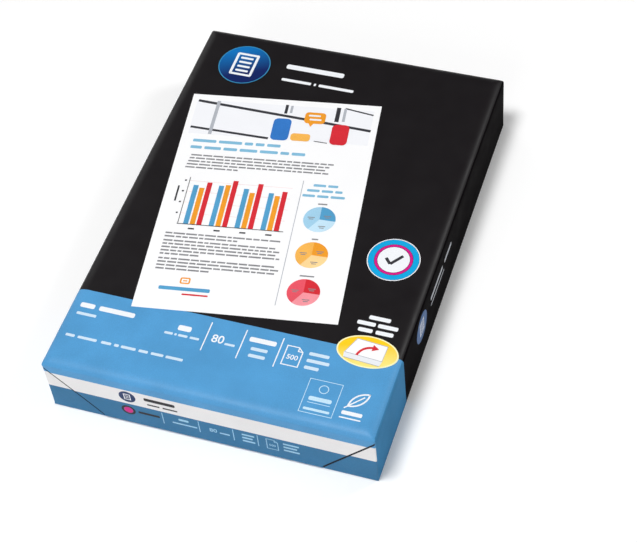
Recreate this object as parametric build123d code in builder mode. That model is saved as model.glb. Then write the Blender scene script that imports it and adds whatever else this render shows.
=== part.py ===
import os

from build123d import *

# A ream of office paper in its sealed wrapper, lying on its base.
# The origin is the middle of the base, +Z is up, and the sheets' long side runs along Y.

# The sheets inside, as one stack
sheet_width = 210.0
sheet_length = 297.0
sheet_thickness = 0.0915
sheet_count = 500

# The wrapper: one sheet, wrapped round the long sides and folded over both short ends
wrapper_thickness = 0.125
side_slack = 0.375  # how far the wrapper stands off the stack at each long side
tucked_plies = 3  # plies of wrapper that lie under the outer flap at each end

# Edges of the pack
shoulder_width = 8.0  # the soft edge all round the top, measured across the top
shoulder_drop = 4.0  # and down the walls
base_edge_radius = 1.5
corner_radius = 1.0  # the creased upright corners

# The outer flap at each end comes down from the top and narrows on both sides
flap_lift = 0.4  # how far the flap stands proud of the tucks beside it
flap_run_in = 36.0  # how far each side of the flap has run in at its lower edge
flap_hem_height = 1.5  # the flap's lower edge, above the base

# The glued lap seam runs along the whole base
seam_offset = 22.0  # from the middle of the base to the free edge of the lap
seam_step = 0.15
seam_run = 14.0  # over this width the lower ply sinks away under the lap

pack_width = sheet_width + 2 * (wrapper_thickness + side_slack)
pack_length = sheet_length + 2 * (tucked_plies * wrapper_thickness + flap_lift)
pack_height = sheet_count * sheet_thickness + 2 * wrapper_thickness

half_width = pack_width / 2
half_length = pack_length / 2


def section_edges(span):
    """The outline of the pack's section: a flat base, upright walls and soft top edges."""
    half_span = span / 2
    shoulder_level = pack_height - shoulder_drop
    with BuildLine() as outline:
        Line((0, 0), (half_span - base_edge_radius, 0))
        CenterArc((half_span - base_edge_radius, base_edge_radius), base_edge_radius, -90, 90)
        Line((half_span, base_edge_radius), (half_span, shoulder_level))
        EllipticalCenterArc(
            (half_span - shoulder_width, shoulder_level), shoulder_width, shoulder_drop, arc_size=90
        )
        Line((half_span - shoulder_width, pack_height), (0, pack_height))
        mirror(about=Plane.YZ)
    return outline.edges()


with BuildPart() as wrapped_ream:
    # The pack is what the section across, the section along and the plan have in common
    with BuildSketch(Plane.XZ):
        make_face(section_edges(pack_width))
    extrude(amount=half_length, both=True)
    with BuildSketch(Plane.YZ):
        make_face(section_edges(pack_length))
    extrude(amount=half_width, both=True, mode=Mode.INTERSECT)
    with BuildSketch(Plane.XY):
        RectangleRounded(pack_width, pack_length, corner_radius)
    extrude(amount=pack_height, mode=Mode.INTERSECT)

    # Beside and below each outer flap the tucked plies lie deeper, by the flap's lift
    flap_top = pack_height - shoulder_drop
    flap_hem_half_width = half_width - flap_run_in
    for end_plane in (
        Plane(origin=(0, -half_length, 0), x_dir=(1, 0, 0), z_dir=(0, -1, 0)),
        Plane(origin=(0, half_length, 0), x_dir=(-1, 0, 0), z_dir=(0, 1, 0)),
    ):
        with BuildSketch(end_plane):
            with BuildLine():
                Polyline(
                    (-half_width, 0),
                    (half_width, 0),
                    (half_width, flap_top),
                    (flap_hem_half_width, flap_hem_height),
                    (-flap_hem_half_width, flap_hem_height),
                    (-half_width, flap_top),
                    close=True,
                )
            make_face()
        extrude(amount=-flap_lift, mode=Mode.SUBTRACT)

    # The lower ply of the lap seam sinks into the base beside the free edge of the lap
    with BuildSketch(Plane.XZ):
        with BuildLine():
            Polyline(
                (seam_offset, 0),
                (seam_offset, seam_step),
                (seam_offset + seam_run, 0),
                close=True,
            )
        make_face()
    extrude(amount=half_length, both=True, mode=Mode.SUBTRACT)

wrapped_ream.part.label = "wrapped_ream"

os.makedirs("parts", exist_ok=True)
export_step(wrapped_ream.part, "parts/wrapped_ream.step")
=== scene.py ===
# %% [markdown]
# # A ream of office paper in its wrapper
# Five hundred sheets lie in one printed wrapper. The wrapper is a single sheet: it goes round the
# long sides and is folded down over both short ends. This lesson models the wrapper with its soft
# edges and folded ends, then lays every printed shape on it as a thin film of ink of its own, so
# that the print stays sharp from close by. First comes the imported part, which gives all sizes.

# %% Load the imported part
import math
import random

import bmesh
import bpy
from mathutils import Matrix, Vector


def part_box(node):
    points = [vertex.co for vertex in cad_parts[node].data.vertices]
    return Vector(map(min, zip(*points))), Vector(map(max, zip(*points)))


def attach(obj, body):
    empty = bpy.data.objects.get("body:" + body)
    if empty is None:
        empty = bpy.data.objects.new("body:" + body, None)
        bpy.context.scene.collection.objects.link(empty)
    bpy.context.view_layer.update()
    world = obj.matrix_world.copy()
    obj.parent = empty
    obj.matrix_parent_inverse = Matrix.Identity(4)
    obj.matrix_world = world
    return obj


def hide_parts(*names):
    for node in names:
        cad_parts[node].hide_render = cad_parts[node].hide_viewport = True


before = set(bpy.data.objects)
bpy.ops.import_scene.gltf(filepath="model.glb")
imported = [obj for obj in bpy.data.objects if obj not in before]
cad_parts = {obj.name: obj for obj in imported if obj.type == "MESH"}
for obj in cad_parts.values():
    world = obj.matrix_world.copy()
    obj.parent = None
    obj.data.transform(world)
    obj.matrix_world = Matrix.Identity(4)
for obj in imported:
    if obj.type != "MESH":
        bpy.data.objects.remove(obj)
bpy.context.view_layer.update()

MM = 0.001
hair = 0.01 * MM  # places nearer to each other than this count as one

# %% [markdown]
# ## Sizes
# Everything is placed from the pack's own box. The wrapper is modelled a bit smaller than that
# box, because the ink lies on top of it and nothing may stand out of the box. The soft edge round
# the top is twice as wide as it is deep, as the paper bends down over a thick stack.

# %% Sizes from the frame
pack_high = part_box("wrapped_ream")[1]
ink_room = 0.3 * MM
half_width = pack_high.x - ink_room
half_length = pack_high.y - ink_room
height = pack_high.z - ink_room

shoulder_width = 8 * MM
shoulder_drop = 4 * MM
corner_crease = 1.1 * MM
crease_reach = 6 * MM
base_edge = 1.2 * MM

blue_line = -90.5 * MM  # in front of this the wrapper is blue, behind it black
white_band_top = 35.8 * MM
white_band_foot = 21.5 * MM
print("wrapper, mm:", round(2 * half_width / MM, 1), round(2 * half_length / MM, 1))

# %% [markdown]
# ## Camera
# The pack is seen from above and from in front of its near right corner, through a long lens. A
# long lens keeps the sides of the pack nearly parallel. The camera is also turned a little about
# its own line of sight, so that the pack seems to lean.

# %% Camera
camera_place = Vector((0.2967, -0.6369, 0.8533))
camera_target = Vector((0.0286, -0.0239, 0.0230))
camera_roll = math.radians(7)
camera_lens = 95.3  # millimetres

camera = bpy.data.objects.new("camera", bpy.data.cameras.new("camera"))
bpy.context.scene.collection.objects.link(camera)
camera.data.lens = camera_lens
camera.location = camera_place
camera.rotation_euler = (camera_target - camera_place).to_track_quat("-Z", "Y").to_euler()
camera.rotation_euler.rotate_axis("Z", -camera_roll)
bpy.context.scene.camera = camera
print("camera is", round((camera_target - camera_place).length, 3), "m away")

# %% [markdown]
# ## Nodes for the finish
# A ream wrapper is coated paper with a satin face. Seen close, its colour is a little uneven, its
# gloss comes and goes in small clouds, and the fibres under the coating give it a fine tooth. All
# of that is noise of different sizes, so these small functions add the nodes for it. They read the
# object's own coordinates, so the finish runs on without a seam from the wrapper to each printed
# shape that lies on it.

# %% Noise and bump
# Nearly all the values of a noise texture lie between these two.
noise_low = 0.3
noise_high = 0.7


def add_node(material, kind, **values):
    """Add a shader node and set the inputs that are given by name."""
    node = material.node_tree.nodes.new(kind)
    for name, value in values.items():
        node.inputs[name.replace("_", " ")].default_value = value
    return node


def wire(material, output, input_socket):
    """Link an output to an input in the nodes of a material or a world."""
    material.node_tree.links.new(output, input_socket)


def noise_between(material, place, scale, detail, low, high):
    """A noise value, spread out between two numbers."""
    noise = add_node(material, "ShaderNodeTexNoise", Scale=scale, Detail=detail)
    wire(material, place, noise.inputs["Vector"])
    ends = {"From_Min": noise_low, "From_Max": noise_high, "To_Min": low, "To_Max": high}
    span = add_node(material, "ShaderNodeMapRange", **ends)
    wire(material, noise.outputs["Fac"], span.inputs["Value"])
    return span.outputs["Result"]


def bump_from_noise(material, place, scale, detail, strength, depth, under=None):
    """A bump made by noise, laid over another bump if one is given."""
    noise = add_node(material, "ShaderNodeTexNoise", Scale=scale, Detail=detail)
    wire(material, place, noise.inputs["Vector"])
    bump = add_node(material, "ShaderNodeBump", Strength=strength, Distance=depth)
    wire(material, noise.outputs["Fac"], bump.inputs["Height"])
    if under:
        wire(material, under, bump.inputs["Normal"])
    return bump.outputs["Normal"]


print("noise is spread out from", noise_low, "and", noise_high)

# %% [markdown]
# ## Colours
# Inks are chosen from swatches in the range 0 to 255, and the shader wants linear colour, so
# one function converts them. Another mixes two colours along a line between two points of the pack,
# for the few shapes that are printed as a gradient.


# %% Colour helpers
def srgb(red, green, blue):
    """A colour from a printer's swatch, 0 to 255, made linear for the shader."""
    def linear(value):
        value /= 255
        return value / 12.92 if value <= 0.04045 else ((value + 0.055) / 1.055) ** 2.4
    return (linear(red), linear(green), linear(blue))


def fade_between(material, place, colour, other, start, end):
    """A colour that turns into another one along the line between two points of the pack."""
    along = end - start
    offset = material.node_tree.nodes.new("ShaderNodeVectorMath")
    offset.operation = "SUBTRACT"
    offset.inputs[1].default_value = start
    wire(material, place, offset.inputs[0])
    share = material.node_tree.nodes.new("ShaderNodeVectorMath")
    share.operation = "DOT_PRODUCT"
    share.inputs[1].default_value = along / along.length_squared
    wire(material, offset.outputs["Vector"], share.inputs[0])
    mix = material.node_tree.nodes.new("ShaderNodeMix")
    mix.data_type = "RGBA"
    mix.inputs["A"].default_value = (*colour, 1)
    mix.inputs["B"].default_value = (*other, 1)
    wire(material, share.outputs["Value"], mix.inputs["Factor"])
    return mix.outputs["Result"]


print("half grey of a swatch is", round(srgb(128, 128, 128)[0], 3), "in linear light")

# %% [markdown]
# ## The printed paper as a material
# One function makes this paper in any ink. Its colour is multiplied by two noises, one of clouds
# and one of specks, and its gloss comes from a third. Two bumps give it its fibres and its waves.
# The long sides have papers of their own, rougher and with hardly any sheen, and a little darker
# in colour than the top, which is a painted shade.

# %% Printed paper
# Each noise has its number of features to the metre, and each bump its depth too.
clouds = {"scale": 45, "detail": 3}
specks = {"scale": 1600, "detail": 2}
gloss_clouds = {"scale": 70, "detail": 4}
fibres = {"scale": 2200, "detail": 3, "strength": 0.12, "depth": 0.06 * MM}
waves = {"scale": 28, "detail": 2, "strength": 0.35, "depth": 0.9 * MM}


def printed_paper(name, colour, gloss=(0.42, 0.5), unevenness=0.06, specular=0.24, fade=None):
    """Satin coated paper printed in one ink; fade gives a second colour, a start and an end."""
    material = bpy.data.materials.new(name)
    material.use_nodes = True
    nodes = material.node_tree.nodes
    shader = nodes["Principled BSDF"]
    shader.inputs["Specular IOR Level"].default_value = specular
    place = nodes.new("ShaderNodeTexCoord").outputs["Object"]

    spread = {"low": 1 - unevenness, "high": 1 + unevenness}
    tone = nodes.new("ShaderNodeMath")
    tone.operation = "MULTIPLY"
    wire(material, noise_between(material, place, **clouds, **spread), tone.inputs[0])
    wire(material, noise_between(material, place, **specks, **spread), tone.inputs[1])
    ink = nodes.new("ShaderNodeVectorMath")
    ink.operation = "SCALE"
    ink.inputs[0].default_value = colour
    if fade:
        wire(material, fade_between(material, place, colour, *fade), ink.inputs[0])
    wire(material, tone.outputs[0], ink.inputs["Scale"])
    wire(material, ink.outputs[0], shader.inputs["Base Color"])

    roughness = noise_between(material, place, **gloss_clouds, low=gloss[0], high=gloss[1])
    wire(material, roughness, shader.inputs["Roughness"])
    tooth = bump_from_noise(material, place, **fibres)
    bumps = bump_from_noise(material, place, **waves, under=tooth)
    wire(material, bumps, shader.inputs["Normal"])
    return material


# The long sides' papers: less gloss, and darker colours that are a painted shade.
side_paper_finish = {"gloss": (0.6, 0.7), "specular": 0.008}
black_paper = printed_paper("black_paper", srgb(18, 14, 17), gloss=(0.38, 0.46), specular=0.28)
shaded_side_black_paper = printed_paper("shaded_side_black_paper", srgb(12, 9, 11), **side_paper_finish)
blue_paper = printed_paper("blue_paper", srgb(81, 154, 207))
shaded_side_blue_paper = printed_paper("shaded_side_blue_paper", srgb(70, 135, 181), **side_paper_finish)
white_paper = printed_paper("white_paper", srgb(240, 238, 238), unevenness=0.02)
deep_blue_paper = printed_paper("deep_blue_paper", srgb(50, 117, 161), specular=0.15)
# Painted shade: a dark paper for the bottom of the narrow gaps at the folded ends.
fold_shade = printed_paper("fold_shade", srgb(14, 22, 34))
print("papers:", [material.name for material in bpy.data.materials])

# %% [markdown]
# ## Working in edit mode from code
# By hand one clicks on the faces to change. In code they are picked by where they are or which way
# they face. These helpers do the clicking: one selects an object, one picks parts of its mesh, and
# one cuts it along a plane, as the bisect tool does. The last one gives a sheet its thickness and
# smooths the shading wherever two faces meet at a small angle.


# %% Helpers for modelling
def only(piece):
    """Select one object and make it the active one."""
    bpy.ops.object.select_all(action="DESELECT")
    piece.select_set(True)
    bpy.context.view_layer.objects.active = piece


def pick(piece, kind, test):
    """In edit mode, select just the verts, edges or faces whose test(part, middle) is true."""
    bpy.ops.mesh.select_all(action="DESELECT")
    bpy.ops.mesh.select_mode(type={"verts": "VERT", "edges": "EDGE", "faces": "FACE"}[kind])
    mesh = bmesh.from_edit_mesh(piece.data)
    picked = 0
    for part in getattr(mesh, kind):
        if kind == "verts":
            middle = part.co
        elif kind == "edges":
            middle = (part.verts[0].co + part.verts[1].co) / 2
        else:
            middle = part.calc_center_median()
        if test(part, middle):
            part.select_set(True)
            picked += 1
    mesh.select_flush_mode()
    bmesh.update_edit_mesh(piece.data)
    return picked


def cut(piece, point, normal, test=None):
    """Bisect the whole piece, or only the faces that pass the test, along one plane."""
    if test:
        pick(piece, "faces", test)
    else:
        bpy.ops.mesh.select_all(action="SELECT")
    bpy.ops.mesh.bisect(plane_co=point, plane_no=normal, use_fill=False)


def thicken(piece, thickness, offset):
    """Give a sheet its thickness, outwards for an offset of 1 and inwards for -1."""
    body = piece.modifiers.new("ink", "SOLIDIFY")
    body.thickness = thickness
    body.offset = offset
    bpy.ops.object.modifier_apply(modifier="ink")
    bpy.ops.object.shade_smooth_by_angle(angle=smooth_under)


smooth_under = math.radians(28)
print("shading is smooth under", round(math.degrees(smooth_under)), "degrees")

# %% [markdown]
# ## The wrapped block
# The wrapper starts as a block. Its soft top edges are twice as wide as they are deep, so the
# block is first made twice as tall, its four top edges are bevelled evenly, and it is then pressed
# down to its real height. The upright corners are creases with a small radius, which run on over
# the top corners where two soft edges meet. The edges round the base are pressed tight by the
# weight.

# %% The block and its edges
bpy.ops.object.select_all(action="DESELECT")
stretch = shoulder_width / shoulder_drop
bends = 10
crease_bends = 3
plain_round = 0.5  # the profile of a bevel that follows a circle
block_size = (2 * half_width, 2 * half_length, height * stretch)
bpy.ops.mesh.primitive_cube_add(size=1, location=(0, 0, 0))
wrapper = bpy.context.active_object
wrapper.name = "wrapper"
bpy.ops.object.mode_set(mode="EDIT")
bpy.ops.transform.translate(value=(0, 0, 0.5))
bpy.ops.transform.resize(value=block_size, center_override=(0, 0, 0))
pick(wrapper, "edges", lambda edge, middle: middle.z > block_size[2] - hair)
bpy.ops.mesh.bevel(offset=shoulder_width, segments=bends, profile=plain_round, affect="EDGES")
bpy.ops.mesh.select_all(action="SELECT")
bpy.ops.transform.resize(value=(1, 1, 1 / stretch), center_override=(0, 0, 0))


def is_corner_crease(edge, middle):
    """The upright creases, and the lines over the top corners where two soft edges meet."""
    for place in [vertex.co for vertex in edge.verts] + [middle]:
        across = half_width - abs(place.x)
        along = half_length - abs(place.y)
        if place.z < base_edge - hair or abs(across - along) > hair or across > crease_reach:
            return False
    return True


crease = {"segments": crease_bends, "profile": plain_round, "affect": "EDGES"}
pick(wrapper, "edges", lambda edge, middle: middle.z < hair)
bpy.ops.mesh.bevel(offset=base_edge, **crease)
pick(wrapper, "edges", is_corner_crease)
bpy.ops.mesh.bevel(offset=corner_crease, **crease)
print("block faces:", len(bmesh.from_edit_mesh(wrapper.data).faces))

# %% [markdown]
# ## The folded ends
# At each end the wrapper's sides are tucked in first, and the top comes down over them as a flap
# that narrows on both sides, then is glued. So each flap's edges run slanting in from the top
# corners, and it ends just above the base. Three cuts side by side make each slanted edge: the
# flap's own edge, the bottom of the narrow gap that shows as a dark line, and the place where the
# tucked paper comes up again.

# %% Cuts at the folded ends
flap_top = height - shoulder_drop
flap_run_in = 36 * MM
flap_hem = 1.6 * MM
gap_wall = 0.4 * MM
gap_width = 1.5 * MM
end_share = 0.5  # how much of a face's normal points along the pack, at least, on an end

flap_edge = Vector((-flap_run_in, 0, flap_hem - flap_top)).normalized()


def on_end(face, middle):
    """On the flat of one of the short ends."""
    return abs(face.normal.y) > end_share and abs(middle.y) > half_length - corner_crease


def below_shoulder(face, middle):
    """On a short end and under the soft edge of the top."""
    return on_end(face, middle) and middle.z < flap_top


for side in (-1, 1):
    outwards = Vector((side * -flap_edge.z, 0, flap_edge.x))
    corner = Vector((side * half_width, 0, flap_top))
    for step in (0, gap_wall, gap_width):
        cut(wrapper, corner + outwards * step, outwards, below_shoulder)
for level in (flap_hem, flap_hem - gap_wall):
    cut(wrapper, (0, 0, level), (0, 0, 1), on_end)
print("faces after the cuts:", len(bmesh.from_edit_mesh(wrapper.data).faces))

# %% [markdown]
# ## Gaps and tucks
# What lies beyond the flap's edge now has vertices of its own. Those at the bottom of the gap are
# pushed in first, and then all of the tucked paper by the flap's lift, the gap's vertices again
# among them. Those have moved by then, so the second test looks at each vertex farther out.

# %% Gaps and tucks
flap_lift = 0.4 * MM
gap_depth = 1.1 * MM
end_reach = 0.7 * corner_crease  # how far behind the end's own plane a vertex still belongs to it


def beyond_flap(place):
    """How far a place lies outside the flap's slanted edge, measured square to it."""
    from_corner = Vector((abs(place.x) - half_width, 0, place.z - flap_top))
    return from_corner.x * -flap_edge.z + from_corner.z * flap_edge.x


def is_tuck(place, end):
    """On one end, and beyond the slanted edge or under the hem of its flap."""
    near_end = place.y * end > half_length - end_reach
    outside = beyond_flap(place) > gap_wall - hair or place.z < flap_hem - hair
    return near_end and outside and place.z < flap_top - hair


def is_gap(place, end):
    """Among the tucked vertices, the row along the slanted edge."""
    above_hem = place.z > flap_hem - gap_wall - hair
    return is_tuck(place, end) and above_hem and abs(beyond_flap(place) - gap_wall) < hair


for end in (-1, 1):
    back_out = Vector((0, end * gap_depth, 0))
    gap_count = pick(wrapper, "verts", lambda vertex, middle: is_gap(middle, end))
    bpy.ops.transform.translate(value=(0, -end * (gap_depth - flap_lift), 0))
    tuck_count = pick(wrapper, "verts", lambda vertex, middle: is_tuck(middle + back_out, end))
    bpy.ops.transform.translate(value=(0, -end * flap_lift, 0))
    print("end", end, "vertices in the gap:", gap_count, "in the tucks:", tuck_count)

# %% [markdown]
# ## The lap seam
# The wrapper's two long edges meet under the pack, where one is glued over the other. The free
# edge shows as a low step along the base, and the paper beside it sinks away under the lap.

# %% Lap seam
base_share = 0.9  # how much of a face's normal points down, at least, on the base


def on_base(face, middle):
    """On the flat of the base."""
    return face.normal.z < -base_share


seam_place = 22 * MM
seam_step = 0.15 * MM
seam_run = 14 * MM
step_foot = seam_place + seam_step
for place in (seam_place, step_foot, seam_place + seam_run):
    cut(wrapper, (place, 0, 0), (1, 0, 0), on_base)
pick(wrapper, "verts", lambda vertex, middle: middle.z < hair and abs(middle.x - step_foot) < hair)
bpy.ops.transform.translate(value=(0, 0, seam_step))
print("seam step, mm:", seam_step / MM)

# %% [markdown]
# ## Fields of colour
# The wrapper is black with a light blue front. On the near end a white band crosses the flap and
# the tucks, and the foot below it is a deeper blue. The mesh is cut along the edges of the fields
# and each field's faces get their own paper, which keeps these long edges sharp.


# %% Cut the fields
def on_near_end(face, middle):
    """On the near end, and in its gaps too."""
    return face.normal.y < -end_share and middle.y < -half_length + gap_depth + hair


cut(wrapper, (0, blue_line, 0), (0, 1, 0))
for level in (white_band_foot, white_band_top):
    cut(wrapper, (0, 0, level), (0, 0, 1), on_near_end)
print("faces with the fields cut:", len(bmesh.from_edit_mesh(wrapper.data).faces))

# %% [markdown]
# ## A fine grid
# A wrapped pack is never quite flat: the paper swells and sinks a little over the stack. For that
# the mesh needs more vertices, and loop cuts need a window, so the mesh is cut on a regular grid of
# planes instead. The printed films are later cut on the same planes, so that film and wrapper bend
# in the same places and never cross.

# %% Grid cuts
grid_step = 7 * MM


def grid_lines(low, high):
    """Multiples of the grid step between two values."""
    first = math.ceil(low / grid_step)
    last = math.floor(high / grid_step)
    return [step * grid_step for step in range(first, last + 1)]


def shoulder_lines(half_span):
    """Where the soft edge's own facets meet, on both sides of the pack."""
    start = half_span - shoulder_width
    turns = [math.pi / 2 * bend / bends for bend in range(bends)]
    return [side * (start + shoulder_width * math.sin(turn)) for turn in turns for side in (-1, 1)]


def cut_grid(piece, axes="xyz"):
    """Cut a piece in edit mode on every plane of the grid that crosses it."""
    places = [vertex.co for vertex in bmesh.from_edit_mesh(piece.data).verts]
    for axis in ("xyz".index(letter) for letter in axes):
        low = min(place[axis] for place in places)
        high = max(place[axis] for place in places)
        lines = grid_lines(low, high)
        if piece != wrapper and axis < 2:
            lines += shoulder_lines((half_width, half_length)[axis])
        for line in lines:
            if low + hair < line < high - hair:
                point = [0, 0, 0]
                point[axis] = line
                cut(piece, point, [float(n == axis) for n in range(3)])


cut_grid(wrapper)
print("faces after the grid:", len(bmesh.from_edit_mesh(wrapper.data).faces))
bpy.ops.object.mode_set(mode="OBJECT")

# %% [markdown]
# ## Papers on the wrapper
# Each face gets its paper by where it is and which way it faces. A few faces in the bottom of the
# gaps get a dark paper, a painted shade, because hardly any light reaches in there.

# %% Give each field its paper
blue_papers = [blue_paper, shaded_side_blue_paper, deep_blue_paper]
papers = [black_paper, shaded_side_black_paper, *blue_papers, white_paper, fold_shade]
side_share = 0.75  # how much of a face's normal points sideways, at least, on a long side
for paper in papers:
    wrapper.data.materials.append(paper)


def paper_for(face):
    """The paper of one face of the wrapper."""
    middle = face.center
    at_end = abs(middle.y) > half_length - gap_depth - hair
    # The bottom of each gap gets the dark paper, a painted shade.
    if at_end and 0 < beyond_flap(middle) < gap_width and flap_hem < middle.z < flap_top:
        return fold_shade
    # The long sides take the darker side papers, a painted shade.
    on_long_side = abs(face.normal.x) > side_share
    if middle.y > blue_line:
        return shaded_side_black_paper if on_long_side else black_paper
    if middle.y > -half_length + gap_depth + hair or middle.z > white_band_top:
        return shaded_side_blue_paper if on_long_side else blue_paper
    return white_paper if middle.z > white_band_foot else deep_blue_paper


for face in wrapper.data.polygons:
    face.material_index = papers.index(paper_for(face))
for index, paper in enumerate(papers):
    print(paper.name, sum(face.material_index == index for face in wrapper.data.polygons), "faces")

# %% [markdown]
# ## The swell of the paper
# A Displace modifier with a cloud texture moves the paper in by up to 0.3 millimetres. The base
# keeps its place, because the pack rests on it, so a vertex group fades the swell out towards it.
# The texture only ever moves paper inwards, which keeps the wrapper inside its box.

# %% Swell
swell_depth = 0.3 * MM
swell_width = 75 * MM
swell_fade = 8 * MM
top_share = 0.99  # how much of a vertex's normal points up, at least, on the flat of the top
swell = bpy.data.textures.new("swell", "CLOUDS")
swell.noise_scale = swell_width
swell.noise_depth = 1

above_base = wrapper.vertex_groups.new(name="above_base")
for vertex in wrapper.data.vertices:
    share = min(1, max(0, (vertex.co.z - base_edge) / swell_fade))
    above_base.add([vertex.index], share, "REPLACE")
only(wrapper)
displace = wrapper.modifiers.new("swell", "DISPLACE")
displace.texture = swell
displace.texture_coords = "LOCAL"
displace.vertex_group = "above_base"
displace.mid_level = 0
displace.strength = -swell_depth
bpy.ops.object.modifier_apply(modifier="swell")
bpy.ops.object.shade_smooth_by_angle(angle=smooth_under)
wrapper.vertex_groups.clear()
top = [vertex for vertex in wrapper.data.vertices if vertex.normal.z > top_share]
top_heights = [vertex.co.z / MM for vertex in top]
print("wrapper top lies between", round(min(top_heights), 2), "and", round(max(top_heights), 2), "mm")

# %% [markdown]
# ## Films of blue and white
# The blue front and the white band are each a piece of its own. Its faces are copied off the
# wrapper and given the thickness of a film of ink.
# Under the films the wrapper itself is black, and in the narrow gaps the painted shade of its folds
# shows.

# %% Films
film_thickness = 0.03 * MM
underside_share = 0.4  # a film ends where more than this of a face's normal points down
films = {
    "blue_front": ("wrapper_blue", blue_papers),
    "white_band": ("wrapper_white", [white_paper]),
}


def has_film(face, inks):
    """In one of these papers, and not on the base."""
    return papers[face.material_index] in inks and face.normal.z > -underside_share


for name, (slot, inks) in films.items():
    only(wrapper)
    bpy.ops.object.mode_set(mode="EDIT")
    pick(wrapper, "faces", lambda face, middle: has_film(face, inks))
    bpy.ops.mesh.duplicate()
    bpy.ops.mesh.separate(type="SELECTED")
    bpy.ops.object.mode_set(mode="OBJECT")
    film = [piece for piece in bpy.context.selected_objects if piece != wrapper][0]
    film.name = name
    only(film)
    thicken(film, film_thickness, 1)
    bpy.ops.object.material_slot_remove_unused()
    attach(film, "root")
    print(name, len(film.data.polygons), "faces in", [used.name for used in film.material_slots])

# %% [markdown]
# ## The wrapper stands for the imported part
# The wrapper takes the place of the plain part from the frame. Its faces under the films turn
# black, so that it still looks right if a film is hidden.

# %% Finish the wrapper
for face in wrapper.data.polygons:
    if has_film(face, [*blue_papers, white_paper]):
        face.material_index = papers.index(black_paper)
only(wrapper)
bpy.ops.object.material_slot_remove_unused()
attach(wrapper, "root")
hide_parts("wrapped_ream")
print("wrapper papers:", [used.name for used in wrapper.material_slots])

# %% [markdown]
# ## Inks
# Every colour of print is one more ink on the same paper, so each is made by the same function.
# Two inks fade from one colour into another along a line, as a printed gradient does. Their two
# colours could also come from a colour ramp, but a line between two points is easier to place.

# %% Inks
page_white = printed_paper("page_white", srgb(250, 250, 251), unevenness=0.01)
white_ink = printed_paper("white_ink", srgb(240, 243, 247), unevenness=0.02)
thin_white_ink = printed_paper("thin_white_ink", srgb(206, 227, 243), unevenness=0.02)
mist_ink = printed_paper("mist_ink", srgb(243, 244, 248), unevenness=0.01)
pale_grey_ink = printed_paper("pale_grey_ink", srgb(232, 235, 240), unevenness=0.02)
mid_grey_ink = printed_paper("mid_grey_ink", srgb(176, 180, 188))
text_ink = printed_paper("text_ink", srgb(136, 136, 140))
dark_ink = printed_paper("dark_ink", srgb(52, 52, 58))
black_ink = printed_paper("black_ink", srgb(30, 28, 34))
pale_blue_ink = printed_paper("pale_blue_ink", srgb(128, 186, 216))
chart_blue_ink = printed_paper("chart_blue_ink", srgb(82, 158, 202))
strong_blue_ink = printed_paper("strong_blue_ink", srgb(50, 118, 196))
sky_ink = printed_paper("sky_ink", srgb(160, 206, 232))
light_sky_ink = printed_paper("light_sky_ink", srgb(196, 228, 246))
orange_ink = printed_paper("orange_ink", srgb(240, 156, 40))
light_orange_ink = printed_paper("light_orange_ink", srgb(246, 182, 84))
cream_ink = printed_paper("cream_ink", srgb(252, 214, 150))
red_ink = printed_paper("red_ink", srgb(214, 42, 54))
rose_ink = printed_paper("rose_ink", srgb(232, 84, 100))
pink_ink = printed_paper("pink_ink", srgb(248, 152, 162))
blush_ink = printed_paper("blush_ink", srgb(244, 222, 222))
cyan_ink = printed_paper("cyan_ink", srgb(0, 164, 222))
magenta_ink = printed_paper("magenta_ink", srgb(214, 20, 134))
navy_ink = printed_paper("navy_ink", srgb(16, 46, 98))
side_blue_ink = printed_paper("side_blue_ink", srgb(26, 88, 150))
rim_blue_ink = printed_paper("rim_blue_ink", srgb(52, 140, 186))
pale_yellow_ink = printed_paper("pale_yellow_ink", srgb(252, 244, 190))

to_light_blue = (srgb(0, 112, 186), Vector((-66, 112, 46)) * MM, Vector((-76, 132, 46)) * MM)
roundel_ink = printed_paper("roundel_ink", srgb(8, 32, 96), fade=to_light_blue)
to_pale_yellow = (srgb(252, 232, 132), Vector((80, -86, 46)) * MM, Vector((84, -101, 46)) * MM)
yellow_ink = printed_paper("yellow_ink", srgb(255, 206, 24), fade=to_pale_yellow)
print("papers and inks:", len(bpy.data.materials))

# %% [markdown]
# ## Drawing a flat shape
# Every printed shape is first drawn flat on the ground, in millimetres from the middle of the side
# that it goes on, and then pressed on. Most of them are rectangles and circles. A rectangle is a
# plane, scaled about its own middle, whose corners a vertex bevel makes round. A circle is one
# filled face with enough corners to look round.


# %% Plates and discs
def start_print(name):
    """Start a printed piece with nothing in it yet, open in edit mode."""
    bpy.ops.object.select_all(action="DESELECT")
    bpy.ops.mesh.primitive_plane_add(size=1)
    piece = bpy.context.active_object
    piece.name = name
    bpy.ops.object.mode_set(mode="EDIT")
    bpy.ops.mesh.delete(type="VERT")
    return piece


def turn_shape(x, y, degrees):
    """Turn what is selected, anticlockwise about a place; the operator itself counts clockwise."""
    bpy.ops.transform.rotate(
        value=-math.radians(degrees), orient_axis="Z", center_override=(x * MM, y * MM, 0)
    )


def plate(x, y, width, height, corner=0, turn=0):
    """A rectangle about its middle, with round corners and a turn if wanted."""
    place = (x * MM, y * MM, 0)
    bpy.ops.mesh.primitive_plane_add(size=1, location=place)
    bpy.ops.transform.resize(value=(width * MM, height * MM, 1), center_override=place)
    if corner:
        bpy.ops.mesh.bevel(offset=corner * MM, segments=corner_bends, affect="VERTICES")
    if turn:
        turn_shape(x, y, turn)


def disc(x, y, radius, across=1, corners=64, turn=0):
    """A filled circle, or an ellipse if it is stretched across."""
    place = (x * MM, y * MM, 0)
    bpy.ops.mesh.primitive_circle_add(
        vertices=corners, radius=radius * MM, fill_type="NGON", location=place
    )
    if across != 1:
        bpy.ops.transform.resize(value=(across, 1, 1), center_override=place)
    if turn:
        turn_shape(x, y, turn)


corner_bends = 3
print("a round corner has", corner_bends, "facets")

# %% [markdown]
# ## Rims, arcs and slices
# An inset of the face just drawn leaves that inner face selected, and deleting it leaves a rim. A
# part of a ring or of a full circle keeps only the faces between two angles, counted like a clock
# hand's from straight up. A full circle is drawn as a fan of triangles for that.


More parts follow.
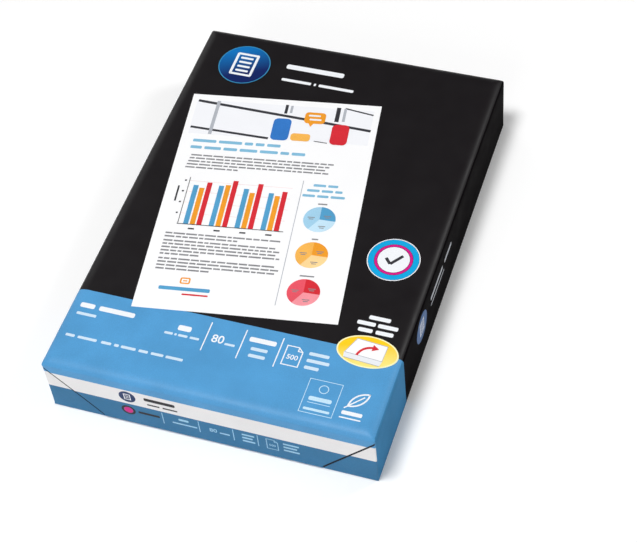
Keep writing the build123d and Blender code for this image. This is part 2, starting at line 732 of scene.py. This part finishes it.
# %% Rims, arcs and slices
def hollow(rim):
    """Turn the shape just drawn into a rim of its outline."""
    bpy.ops.mesh.inset(thickness=rim * MM, depth=0)
    bpy.ops.mesh.delete(type="FACE")


def keep_angles(piece, x, y, reach, start, end):
    """Cut a shape round a middle down to the faces between two angles."""
    def is_outside(face, middle):
        across = middle.x / MM - x
        up = middle.y / MM - y
        angle = math.degrees(math.atan2(across, up)) % 360
        return math.hypot(across, up) < reach and not start < angle < end

    pick(piece, "faces", is_outside)
    bpy.ops.mesh.delete(type="FACE")


def arc(piece, x, y, radius, rim, start, end):
    """A part of a ring."""
    disc(x, y, radius, corners=ring_corners)
    hollow(rim)
    keep_angles(piece, x, y, radius, start, end)


def slice_of_pie(piece, x, y, radius, start, end):
    """A part of a full circle."""
    bpy.ops.mesh.primitive_circle_add(
        vertices=ring_corners, radius=radius * MM, fill_type="TRIFAN", location=(x * MM, y * MM, 0)
    )
    keep_angles(piece, x, y, radius, start, end)


ring_corners = 72
print("a ring or a pie has a corner every", 360 / ring_corners, "degrees")

# %% [markdown]
# ## Words and numbers
# Lettering is kept plain, so a word is a rounded bar and a line of small text is a row of bars of
# uneven lengths. The lengths are drawn by a random generator with a fixed seed, so each run gives
# the same page. Only the plain numbers are real type: a text object, turned into a mesh and joined
# to the piece, with its doubled vertices merged.

# %% Words and numbers
# These five are in heights of the line.
word_corner = 0.3
shortest_word = 2
longest_word = 6.5
shortest_rest = 2.5
word_space = 0.7
square_up_to = 1.5  # in millimetres, a line of words up to this height has square corners


def one_word(x, y, length, height):
    """One word as a rounded bar, from its left end and its middle height."""
    plate(x + length / 2, y, length, height, corner=word_corner * height)


def row_of_words(y, height, *spans):
    """Words in one row, each given by its left end and its length."""
    for start, length in spans:
        one_word(start, y, length, height)


def words(x, y, length, height, seed):
    """A line of words of uneven lengths, from its left end."""
    chance = random.Random(seed)
    corner = word_corner * height if height > square_up_to else 0
    end = x + length
    start = x
    while start < end - height:
        bar = min(height * chance.uniform(shortest_word, longest_word), end - start)
        if end - start - bar < shortest_rest * height:
            bar = end - start
        plate(start + bar / 2, y, bar, height, corner)
        start += bar + word_space * height


def number(piece, text, x, y, size):
    """A plain number about a middle, made mesh and joined to the piece."""
    bpy.ops.object.mode_set(mode="OBJECT")
    bpy.ops.object.select_all(action="DESELECT")
    bpy.ops.object.text_add(location=(x * MM, y * MM, 0))
    figure = bpy.context.active_object
    figure.data.body = text
    figure.data.size = size * MM
    figure.data.align_x = "CENTER"
    figure.data.align_y = "CENTER"
    figure.data.offset = figure_boldness * size * MM
    bpy.ops.object.convert(target="MESH")
    piece.select_set(True)
    bpy.context.view_layer.objects.active = piece
    bpy.ops.object.join()
    bpy.ops.object.mode_set(mode="EDIT")
    bpy.ops.mesh.select_all(action="SELECT")
    bpy.ops.mesh.remove_doubles(threshold=2 * hair)
    return len(bmesh.from_edit_mesh(piece.data).verts)


figure_boldness = 0.012  # how far the outline moves out, in sizes of the figure
first_word = random.Random(2).uniform(shortest_word, longest_word)
print("first word of a line, in heights:", round(first_word, 2))

# %% [markdown]
# ## Pressing the print on
# A finished drawing is moved over its side of the pack. It is cut along the same planes as the
# wrapper, so that both bend in the same places. A Shrinkwrap modifier then drops it straight on,
# and a Solidify modifier gives the ink its thickness. Each layer of ink lies a little higher than
# the one before, so that no two shapes share a surface.

# %% Pressing
ink_layer = 0.06 * MM
ink_thickness = 0.8 * ink_layer
clear_by = 5 * MM  # how far off the pack a drawing is before it drops
page_turn = math.radians(8.5)
page_corner = Vector((-94, 84.5, 0)) * MM
over_top = Vector((0, 0, height + clear_by))
quarter = math.radians(90)

# For each side: where the drawing goes, how it is turned, the axis along which it is dropped on,
# whether it drops forwards along that axis, and the axes that the grid cuts it on.
sides = {
    "top": (over_top, (0, 0, 0), "z", False, "xy"),
    "page": (over_top + page_corner, (0, 0, page_turn), "z", False, "xy"),
    "near end": ((0, -half_length - clear_by, 0), (quarter, 0, 0), "y", True, "xz"),
    "right": ((half_width + clear_by, 0, 0), (quarter, 0, quarter), "x", False, "yz"),
    "left": ((-half_width - clear_by, 0, 0), (quarter, 0, -quarter), "x", True, "yz"),
}
printed = []


def press(piece, ink, side="page", layer=1):
    """Lay a flat drawing on one side of the wrapper in one ink."""
    place, turn, axis, forwards, grid_axes = sides[side]
    bpy.ops.object.mode_set(mode="OBJECT")
    only(piece)
    piece.location = place
    piece.rotation_euler = turn
    bpy.ops.object.transform_apply(location=True, rotation=True, scale=True)
    bpy.ops.object.mode_set(mode="EDIT")
    cut_grid(piece, grid_axes)
    bpy.ops.object.mode_set(mode="OBJECT")

    drop = piece.modifiers.new("drop", "SHRINKWRAP")
    drop.target = wrapper
    drop.wrap_method = "PROJECT"
    setattr(drop, "use_project_" + axis, True)
    drop.use_positive_direction = forwards
    drop.use_negative_direction = not forwards
    drop.offset = layer * ink_layer
    bpy.ops.object.modifier_apply(modifier="drop")
    thicken(piece, ink_thickness, -1)

    piece.data.materials.append(ink)
    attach(piece, "root")
    printed.append(piece)


print("sides that take print:", list(sides))

# %% [markdown]
# ## Title and roundel
# At the far end of the top there is a blue roundel and a white title with a smaller line under it.
# The roundel carries a plain picture of a sheet with some lines on it. Its rim, its disc and the
# sheet are three layers of ink.

# %% Title and roundel
roundel_x = -70
roundel_y = 119

piece = start_print("roundel_rim")
disc(roundel_x, roundel_y, 18)
press(piece, rim_blue_ink, "top")

piece = start_print("roundel")
disc(roundel_x, roundel_y, 17.3)
press(piece, roundel_ink, "top", 2)

piece = start_print("roundel_sheet")
plate(roundel_x, roundel_y, 16, 21, corner=1.2)
hollow(1.8)
for line in range(4):
    one_word(roundel_x - 4.5, roundel_y + 6 - 4 * line, 9, 1.8)
press(piece, white_ink, "top", 3)

piece = start_print("title")
one_word(-41, 124.5, 41, 4.2)
row_of_words(112, 2.4, (-40.5, 21), (-17.5, 1.5), (-14, 24.5))
press(piece, white_ink, "top")
print("printed pieces so far:", len(printed))

# %% [markdown]
# ## The printed page
# A printed sample of an office report fills most of the top and lies a little turned. It is a
# white sheet with a header field, headings, grey text, a bar chart and three pies. Its shapes are
# placed from the page's own far left corner, and press turns and moves them all the same way. The
# header field is kept plain, with window bars, a speech bubble and blocks of colour.

# %% Page and header field
page_width = 128.5
page_height = 182

piece = start_print("page")
plate(page_width / 2, -page_height / 2, page_width, page_height)
press(piece, page_white)

piece = start_print("header_field")
plate(64, -20.5, 120.5, 31)
press(piece, mist_ink, layer=2)

piece = start_print("window_bars")
plate(64.5, -14.5, 121, 2.1, turn=-8.2)
plate(31, -33, 54, 1.8, turn=-6)
plate(93, -36, 9, 0.6, turn=-6)
plate(65.5, -8.5, 2, 8)
plate(100.5, -10.5, 2.8, 13)
plate(114.5, -6.5, 20, 1.1, turn=-13)
press(piece, dark_ink, layer=3)

piece = start_print("window_posts")
plate(18.5, -20.5, 2.3, 30.5, turn=-1)
plate(69, -8.5, 1.6, 6.5)
plate(105, -10.5, 1.8, 12)
press(piece, mid_grey_ink, layer=4)
print("page, mm:", page_width, "x", page_height)

# %% [markdown]
# ## Bubble and blocks
# The speech bubble is a rounded plate with a triangle under it. The triangle is a disc with three
# corners, turned to point down. Beside it stand three plain blocks of colour.

# %% Bubble and blocks
piece = start_print("speech_bubble")
plate(86, -15, 14, 10, corner=2.4)
disc(84, -21, 2, corners=3, turn=180)
press(piece, orange_ink, layer=4)

piece = start_print("bubble_bars")
one_word(81.5, -13, 8, 1.5)
one_word(82.5, -16.5, 8, 1.5)
press(piece, white_ink, layer=5)

piece = start_print("blue_block")
plate(65, -27, 12, 19.5, corner=3)
press(piece, strong_blue_ink, layer=4)

piece = start_print("peach_block")
plate(79, -33, 13, 6.5, corner=2)
press(piece, light_orange_ink, layer=4)

piece = start_print("red_block")
plate(104.5, -28.5, 11.5, 18, corner=3)
press(piece, red_ink, layer=5)
print("printed pieces so far:", len(printed))

# %% [markdown]
# ## Headings and text
# Two lines of blue heading stand under the header field, three shorter ones over the pies, and the
# grey text comes in four paragraphs. Every paragraph has some full lines and a shorter last one,
# and no two lines end at quite the same place.

# %% Headings and text
side_column = 103  # the middle of the right column
piece = start_print("headings")
words(8.5, -42, 59, 2.5, seed=2)
words(8, -48, 77, 2.5, seed=3)
for down, length in ((73.5, 16), (78, 23), (82.5, 27.5)):
    words(side_column - length / 2, -down, length, 2, seed=9)
press(piece, pale_blue_ink, layer=2)

# For each paragraph: how far down it starts, its left end, how far each line starts left of the
# one before, its full lines, their length, and the length of its last line.
paragraphs = (
    (55, 10, 0.4, 4, 95, 38),
    (122, 8, 0, 1, 74, 49),
    (128, 8, 0, 4, 76, 27),
    (142.5, 8, 0, 3, 78, 34),
)
line_pitch = 2.7
text_height = 1.2
text_seed = 20
line_count = 0
piece = start_print("small_text")
for down, left, lean, full_lines, full_length, last_length in paragraphs:
    for line in range(full_lines + 1):
        length = full_length if line < full_lines else last_length
        ragged_by = (line_count * 7) % 5  # 0, 2, 4, 1 and 3 in turn
        seed = text_seed + line_count
        words(left - lean * line, -down - line_pitch * line, length - ragged_by, text_height, seed)
        line_count += 1
press(piece, text_ink, layer=2)
print("lines of small text:", line_count)

# %% [markdown]
# ## Bar chart
# The chart has four groups of three bars over a thin base line, with faint lines behind them. The
# bars of one colour are one piece, so that each colour is drawn and pressed once.

# %% Bar chart
bar_width = 3.3
bar_pitch = 4.3
group_pitch = 16.7
chart_foot = 114
chart_head = 74.5
chart_middle = 48
chart_width = 68
level_pitch = 9.2
groups = [17.5 + group_pitch * group for group in range(4)]
levels = [77.5 + level_pitch * level for level in range(4)]
bars = {
    "blue_bars": (chart_blue_ink, (33, 34, 33, 31)),
    "orange_bars": (orange_ink, (31, 35, 30, 29)),
    "red_bars": (red_ink, (36, 39, 38, 33)),
}
for place_in_group, (name, (ink, tall)) in enumerate(bars.items()):
    piece = start_print(name)
    for start, bar in zip(groups, tall):
        middle = start + place_in_group * bar_pitch + bar_width / 2
        plate(middle, -chart_foot + bar / 2, bar_width, bar)
    press(piece, ink, layer=3)

piece = start_print("chart_lines")
for down in levels:
    plate(chart_middle, -down, chart_width, 0.35)
press(piece, blush_ink, layer=2)

piece = start_print("chart_axes")
plate(14, -(chart_head + chart_foot) / 2, 0.4, chart_foot - chart_head)
plate(chart_middle, -chart_foot, chart_width + 1, 0.5)
plate(8, -89, 1.1, 13)
for down in levels:
    plate(11.5, -down, 1.3, 1.1)
for start in groups:
    plate(start + 6, -chart_foot - 3.5, 4, 1.1)
press(piece, dark_ink, layer=4)

piece = start_print("page_divider")
plate(88, -121, 0.5, 101.5)
press(piece, mid_grey_ink, layer=2)
print("bars:", len(bars) * len(groups), "- printed pieces so far:", len(printed))

# %% [markdown]
# ## Pies
# Three pies stand in the right column, each in three tones of one colour. Each has a name over it
# and a label of two short lines in every slice.

# %% Pies
pie_radius = 10.3
pie_x = 103.5
pies = (
    (101.5, 6, (chart_blue_ink, light_sky_ink, sky_ink)),
    (130.5, 4, (orange_ink, cream_ink, light_orange_ink)),
    (160, 9, (red_ink, pink_ink, rose_ink)),
)
slices = ((0, 95), (95, 215), (215, 360))
label_places = ((-5.4, 1.2), (4.8, 3), (2.4, -5.6))
label_line = 0.6

for down, name_length, inks in pies:
    for (start, end), ink in zip(slices, inks):
        piece = start_print("pie_slice")
        slice_of_pie(piece, pie_x, -down, pie_radius, start, end)
        press(piece, ink, layer=2)

piece = start_print("pie_labels")
for down, name_length, inks in pies:
    plate(pie_x, -down + pie_radius + 2.3, name_length, 1)
    for across, up in label_places:
        plate(pie_x + across, -down + up, 4.6, label_line)
        plate(pie_x + across, -down + up - 1.3, 3, label_line)
press(piece, text_ink, layer=3)
print("slices of pie:", len(pies) * len(slices), "- printed pieces so far:", len(printed))

# %% [markdown]
# ## Foot of the page
# At the foot of the page stands a small orange badge over a blue name, with a thin red line under
# it. They are plain bars and a hollow plate.

# %% Foot of the page
badge_x = 29
badge_y = -159

piece = start_print("foot_badge")
plate(badge_x, badge_y, 6.5, 5, corner=1.2)
hollow(1)
plate(badge_x, badge_y, 2.6, 0.9)
press(piece, orange_ink, layer=2)

piece = start_print("foot_name")
one_word(13.5, -165.5, 32.5, 2.8)
press(piece, chart_blue_ink, layer=2)

piece = start_print("foot_line")
one_word(29, -169.5, 16.5, 1.2)
press(piece, red_ink, layer=2)
print("printed pieces so far:", len(printed))

# %% [markdown]
# ## Seal
# A round seal stands on the black beside the page. It has a thin pale rim, a cyan ring, a thin
# magenta ring and a white middle with a tick. The rings don't overlap, so they share one layer.

# %% Seal
seal_x = 78
seal_y = -20

piece = start_print("seal_rim")
disc(seal_x, seal_y, 16.6)
hollow(0.6)
disc(seal_x, seal_y, 10)
press(piece, white_ink, "top")

piece = start_print("seal_ring")
disc(seal_x, seal_y, 15.8)
hollow(3.6)
press(piece, cyan_ink, "top")

piece = start_print("seal_inner_ring")
disc(seal_x, seal_y, 11.9)
hollow(1.6)
press(piece, magenta_ink, "top")

piece = start_print("seal_tick")
plate(seal_x - 3.1, seal_y - 1.7, 5.4, 2, turn=-48)
plate(seal_x + 1.9, seal_y + 0.2, 10, 2, turn=52)
press(piece, dark_ink, "top", 2)
print("printed pieces so far:", len(printed))

# %% [markdown]
# ## Opening mark
# A yellow oval shows how the pack is opened, and three short lines of white words stand above it.
# Its right end lies over the soft edge of the pack, where the drop of the Shrinkwrap bends it.

# %% Opening mark
oval_x = 83
oval_y = -91
oval_radius = 10.6
oval_stretch = 1.7

piece = start_print("opening_words")
row_of_words(-66, 2.9, (76.5, 13.5))
row_of_words(-71, 2.9, (70.5, 11.5), (83.5, 12.5))
row_of_words(-76, 2.9, (72.5, 9), (83.5, 11))
press(piece, white_ink, "top")

piece = start_print("oval_rim")
disc(oval_x, oval_y, 11.5, across=1.65)
press(piece, pale_yellow_ink, "top")

piece = start_print("oval")
disc(oval_x, oval_y, oval_radius, across=oval_stretch)
press(piece, yellow_ink, "top", 2)
print("oval, mm across:", round(2 * oval_radius * oval_stretch, 1))

# %% [markdown]
# ## The drawn pack
# On the oval there is a small drawing of a pack, seen from above at an angle, with a curved red
# arrow over it. Its slanted faces are no rectangles, so each starts as a small plate whose four
# corners are moved into place.


# %% The drawn pack
def four_corners(piece, corners):
    """A flat shape with four corners, given from the oval's middle and anticlockwise."""
    plate(oval_x, oval_y, 1, 1)
    middle_of_oval = Vector((oval_x, oval_y, 0))
    for (right, up), corner in zip(((-1, -1), (1, -1), (1, 1), (-1, 1)), corners):
        start = (middle_of_oval + Vector((right, up, 0)) / 2) * MM
        goal = (middle_of_oval + Vector((*corner, 0))) * MM
        pick(piece, "verts", lambda vertex, middle: (middle - start).length < hair)
        bpy.ops.transform.translate(value=goal - start)
    pick(piece, "faces", lambda face, middle: True)


drawn_top = ((-13.5, -3.5), (10.5, -5), (11, 6.5), (-8.5, 8))
drawn_front = ((-13, -7), (9.5, -8.5), (10.5, -5), (-13.5, -3.5))

piece = start_print("drawn_pack_top")
four_corners(piece, drawn_top)
press(piece, page_white, "top", 3)

piece = start_print("drawn_pack_front")
four_corners(piece, drawn_front)
press(piece, pale_grey_ink, "top", 3)

piece = start_print("drawn_pack_lines")
four_corners(piece, drawn_top)
hollow(0.35)
plate(oval_x - 1.75, oval_y - 7.75, 22.5, 0.4, turn=-3.8)
press(piece, mid_grey_ink, "top", 4)

piece = start_print("opening_arrow")
arc(piece, oval_x + 3, oval_y - 5.5, 9.5, 1.5, 280, 355)
disc(oval_x + 3.6, oval_y + 3.2, 2.7, corners=3, turn=-92)
press(piece, red_ink, "top", 5)
print("printed pieces so far:", len(printed))

# %% [markdown]
# ## Facts on the blue front
# The blue field gives the facts of the paper in one row, parted by upright lines: the size of the
# sheets, their weight, their shade and their number. Only the weight and the number are set as
# figures. Left of the row are a name and a slogan. The small words have a thinner white, because
# the blue shows between the strokes of small letters.

# %% Facts on the blue front
slogan = (
    (-98, 6), (-90, 12.5), (-74.5, 6.5), (-66, 3), (-61.5, 9.5), (-50, 6), (-42, 8), (-32.5, 11)
)
sheet_size = ((-40, 5.5), (-33.5, 1.5), (-31, 6), (-23.5, 6))

piece = start_print("front_words")
row_of_words(-102, 3.5, (-98, 9.5), (-85.5, 23.5))
one_word(-33, -103, 8.5, 3.9)
one_word(12, -100, 17, 3.4)
for across in (-14, 8.5, 32):
    plate(across, -105, 0.7, 21.5)
press(piece, white_ink, "top")

piece = start_print("front_small_words")
one_word(-98, -108.5, 13, 2)
row_of_words(-125.5, 1.9, *slogan)
row_of_words(-108.5, 1.7, *sheet_size)
one_word(-1.5, -107.5, 6.5, 1.6)
for up in (-106.5, -111.5):
    one_word(15, up, 10.5, 2.3)
for up, length in ((-101, 12.5), (-106, 14), (-111, 9)):
    one_word(50, up, length, 2.3)
press(piece, thin_white_ink, "top")

piece = start_print("weight_figure")
corner_count = number(piece, "80", -6.5, -105.5, 8)
press(piece, white_ink, "top")
print("words of the slogan:", len(slogan), "- vertices of the weight:", corner_count)

# %% [markdown]
# ## Sheet sign
# The number of sheets stands in the outline of a sheet with a folded corner. The corner is cut off
# by a bevel with one facet, the inset makes the outline, and the fold's two short lines lie on top
# as a piece of their own, so that no two faces of one piece overlap. The near end has the same
# sign, smaller, so one function makes both.


# %% Sheet sign
def sheet_sign(piece, x, y, width, height, rim, fold):
    """The outline of a sheet with its far right corner cut off."""
    plate(x, y, width, height)
    corner = Vector((x + width / 2, y + height / 2, 0)) * MM
    pick(piece, "verts", lambda vertex, middle: (middle - corner).length < hair)
    bpy.ops.mesh.bevel(offset=fold * MM, segments=1, affect="VERTICES")
    sheet_middle = Vector((x, y, 0)) * MM
    near_by = 0.2 * width * MM
    pick(piece, "faces", lambda face, middle: (middle - sheet_middle).length < near_by)
    hollow(rim)


def sheet_fold(x, y, width, height, rim, fold):
    """The two short lines of the corner that is folded over."""
    left = x + width / 2 - fold
    foot = y + height / 2 - fold
    upright = fold - 1.2 * rim  # just too short to touch the other line
    plate(left + fold / 2 - rim / 2, foot, fold, rim)
    plate(left, foot + fold / 2, rim, upright)


def counted_sheet(prefix, sheet, figure_size, ink, side):
    """The sign, its fold and the plain number in it, as three pieces."""
    piece = start_print(prefix + "sheet_sign")
    sheet_sign(piece, *sheet)
    press(piece, ink, side)

    piece = start_print(prefix + "sheet_fold")
    sheet_fold(*sheet)
    press(piece, ink, side, 2)

    piece = start_print(prefix + "count_figure")
    corner_count = number(piece, "500", sheet[0], sheet[1] - 1, figure_size)
    press(piece, ink, side)
    print("vertices of", prefix + "count_figure:", corner_count)


counted_sheet("", (41, -105.5, 11, 14.5, 0.7, 3.2), 4.8, white_ink, "top")
print("printed pieces so far:", len(printed))

# %% [markdown]
# ## Framed label and leaf
# In the near right corner of the top are a label in a thin frame and a leaf. The leaf is a square
# with two opposite corners bevelled round until they nearly meet, which leaves a pointed leaf
# shape. Its rib lies on top of its outline.

# %% Framed label and leaf
label_x = 66.5
leaf_x = 88.5
leaf_y = -125.5
leaf_size = 11.4
leaf_round = 11

piece = start_print("framed_label")
plate(label_x, -129.5, 20.5, 24)
hollow(0.4)
disc(label_x, -123.5, 3)
hollow(0.5)
one_word(label_x - 7, -131, 14, 2.8)
plate(label_x, -134, 14, 0.4)
one_word(label_x - 8, -138.5, 16, 1.7)
press(piece, light_sky_ink, "top")

piece = start_print("leaf")
leaf_middle = Vector((leaf_x, leaf_y, 0)) * MM
plate(leaf_x, leaf_y, leaf_size, leaf_size)
pick(piece, "verts", lambda vertex, middle: abs(sum(middle - leaf_middle)) < hair)
bpy.ops.mesh.bevel(offset=leaf_round * MM, segments=bends, profile=plain_round, affect="VERTICES")
pick(piece, "faces", lambda face, middle: (middle - leaf_middle).length < leaf_size * MM / 3)
hollow(1)
one_word(81, -135.5, 12.5, 2.6)
one_word(80.5, -139, 13, 0.9)
press(piece, white_ink, "top")

piece = start_print("leaf_rib")
plate(leaf_x - 2.1, leaf_y - 2.1, 14, 0.8, turn=45)
press(piece, white_ink, "top", 2)
print("printed pieces so far:", len(printed))

# %% [markdown]
# ## Print on the near end
# The near end repeats the roundel and the title on its white band, and a small seal and the facts
# on the deep blue below it. Here the drawing's own up is the pack's up, from the base.

# %% Print on the near end
end_roundel_x = -51
end_roundel_up = 29
end_seal_x = -52.5
facts_up = 14.5

piece = start_print("end_roundel")
disc(end_roundel_x, end_roundel_up, 5.4)
press(piece, navy_ink, "near end")

piece = start_print("end_roundel_sheet")
plate(end_roundel_x, end_roundel_up, 4.4, 5.8)
hollow(0.6)
for up in (-0.8, 0.8):
    plate(end_roundel_x, end_roundel_up + up, 2.2, 0.5)
press(piece, white_ink, "near end", 2)

piece = start_print("end_title")
one_word(-40, 30.5, 20, 3)
row_of_words(25.5, 1.3, (-38.5, 8), (-28.5, 9.5))
press(piece, black_ink, "near end")

piece = start_print("end_seal")
disc(end_seal_x, facts_up, 4.6)
hollow(1.5)
one_word(-46, facts_up, 14, 2.2)
press(piece, black_ink, "near end")

piece = start_print("end_seal_middle")
disc(end_seal_x, facts_up, 2.9)
press(piece, magenta_ink, "near end")
print("printed pieces so far:", len(printed))

# %% [markdown]
# ## Facts on the near end
# The row of facts is the one on the blue front again, smaller and in a pale blue.

# %% Facts on the near end
piece = start_print("end_facts")
for across in (-30, -6.5, 15.5, 31):
    plate(across, facts_up, 0.5, 11.5)
one_word(-19.5, 17, 6.5, 2.1)
one_word(-24, 12.5, 16, 1.3)
one_word(6.5, 13, 6.5, 1.3)
for across, length in ((21, 8), (47, 10)):
    for line in range(3):
        one_word(across, 17.5 - 3.3 * line, length - (line % 2) * 1.4, 1.5)
press(piece, sky_ink, "near end")

piece = start_print("end_weight_figure")
number(piece, "80", 2.5, 14, 5)
press(piece, sky_ink, "near end")

counted_sheet("end_", (40, 14, 7.5, 10.5, 0.5, 2.2), 2.8, sky_ink, "near end")
print("printed pieces so far:", len(printed))

# %% [markdown]
# ## Print on the long sides
# Each long side carries the roundel again and two plain grey lines of print beside it. Both sides
# are printed alike, so one loop makes them.

# %% Print on the long sides
side_roundel_along = -53
side_roundel_up = 28.5

for side in ("right", "left"):
    piece = start_print("side_roundel_" + side)
    disc(side_roundel_along, side_roundel_up, 10.8)
    press(piece, side_blue_ink, side)

    piece = start_print("side_roundel_sheet_" + side)
    plate(side_roundel_along, side_roundel_up, 8.4, 11.2)
    hollow(1)
    for line in range(3):
        one_word(side_roundel_along - 2.4, side_roundel_up + 2.7 - 2.7 * line, 4.8, 1)
    press(piece, white_ink, side, 2)

    piece = start_print("side_title_" + side)
    row_of_words(30.5, 3, (-33, 27), (-2, 16))
    one_word(-33, 24.5, 30, 1.4)
    press(piece, mid_grey_ink, side)
print("printed pieces in all:", len(printed))

# %% [markdown]
# ## Floor
# The pack lies on a plain white floor. Near the pack the floor glows only faintly by itself, so that
# it takes the pack's shadow. Farther away it glows more and more, so that it stays nearly as pale
# as the backdrop and hardly any horizon shows in a low view.

# %% Floor
floor_size = 6
bpy.ops.mesh.primitive_plane_add(size=floor_size, location=(0, 0, 0))
floor = bpy.context.active_object
floor.name = "floor"
floor_material = bpy.data.materials.new("floor")
floor_material.use_nodes = True
floor_shader = floor_material.node_tree.nodes["Principled BSDF"]
floor_shader.inputs["Base Color"].default_value = (0.95, 0.95, 0.95, 1)
floor_shader.inputs["Roughness"].default_value = 0.9
floor_shader.inputs["Specular IOR Level"].default_value = 0.1
floor_shader.inputs["Emission Color"].default_value = (1, 1, 1, 1)

place = floor_material.node_tree.nodes.new("ShaderNodeTexCoord").outputs["Object"]
reach = floor_material.node_tree.nodes.new("ShaderNodeVectorMath")
reach.operation = "LENGTH"
wire(floor_material, place, reach.inputs[0])
near = {"From_Min": 0.8, "To_Min": 0.1}  # metres from the middle, and how strongly it glows there
far = {"From_Max": 2.6, "To_Max": 0.8}
glow = add_node(floor_material, "ShaderNodeMapRange", **near, **far)
wire(floor_material, reach.outputs["Value"], glow.inputs["Value"])
wire(floor_material, glow.outputs["Result"], floor_shader.inputs["Emission Strength"])
floor.data.materials.append(floor_material)
print("floor, m:", floor_size, "x", floor_size)

# %% [markdown]
# ## Lamps
# A strong soft lamp hangs over the pack on the left, so the shadow falls softly to the right. A
# weaker one in front fills the near end, and two behind draw the light lines along the soft edges.


# %% Lamps
def soft_lamp(name, place, size, power):
    """A square area lamp that faces the middle of the pack."""
    lamp = bpy.data.objects.new(name, bpy.data.lights.new(name, "AREA"))
    bpy.context.scene.collection.objects.link(lamp)
    lamp.data.size = size
    lamp.data.energy = power
    lamp.location = place
    lamp.rotation_euler = (-Vector(place)).to_track_quat("-Z", "Y").to_euler()


# For each lamp: its place and size in metres and its power in watts.
lamps = {
    "key": ((-0.22, -0.4, 1.75), 0.45, 22),
    "front_fill": ((-0.1, -1.5, 0.7), 0.9, 5.5),
    "edge_light": ((0.85, 0.75, 0.95), 0.3, 4.5),
    "left_edge_light": ((-1.2, 1.0, 0.7), 0.6, 2),
}
for name, (place, size, power) in lamps.items():
    soft_lamp(name, place, size, power)
print("lamps:", list(lamps))

# %% [markdown]
# ## World
# The rest of the light comes weakly and evenly from all round. What the camera sees past the floor
# is a brighter, nearly white backdrop. The Light Path node tells the two apart, so the backdrop
# doesn't light the pack.

# %% World
world = bpy.data.worlds.new("world")
bpy.context.scene.world = world
world.use_nodes = True
nodes = world.node_tree.nodes
room_light = nodes["Background"]
backdrop = nodes.new("ShaderNodeBackground")
room_strength = 0.15
backdrop_strength = 0.93
for background, strength in ((room_light, room_strength), (backdrop, backdrop_strength)):
    background.inputs["Color"].default_value = (1, 1, 1, 1)
    background.inputs["Strength"].default_value = strength

both = nodes.new("ShaderNodeMixShader")
seen_by_camera = nodes.new("ShaderNodeLightPath").outputs["Is Camera Ray"]
wire(world, seen_by_camera, both.inputs["Fac"])
wire(world, room_light.outputs["Background"], both.inputs[1])
wire(world, backdrop.outputs["Background"], both.inputs[2])
wire(world, both.outputs["Shader"], nodes["World Output"].inputs["Surface"])
bpy.context.scene.view_settings.view_transform = "Standard"
print("world nodes:", [node.name for node in nodes])
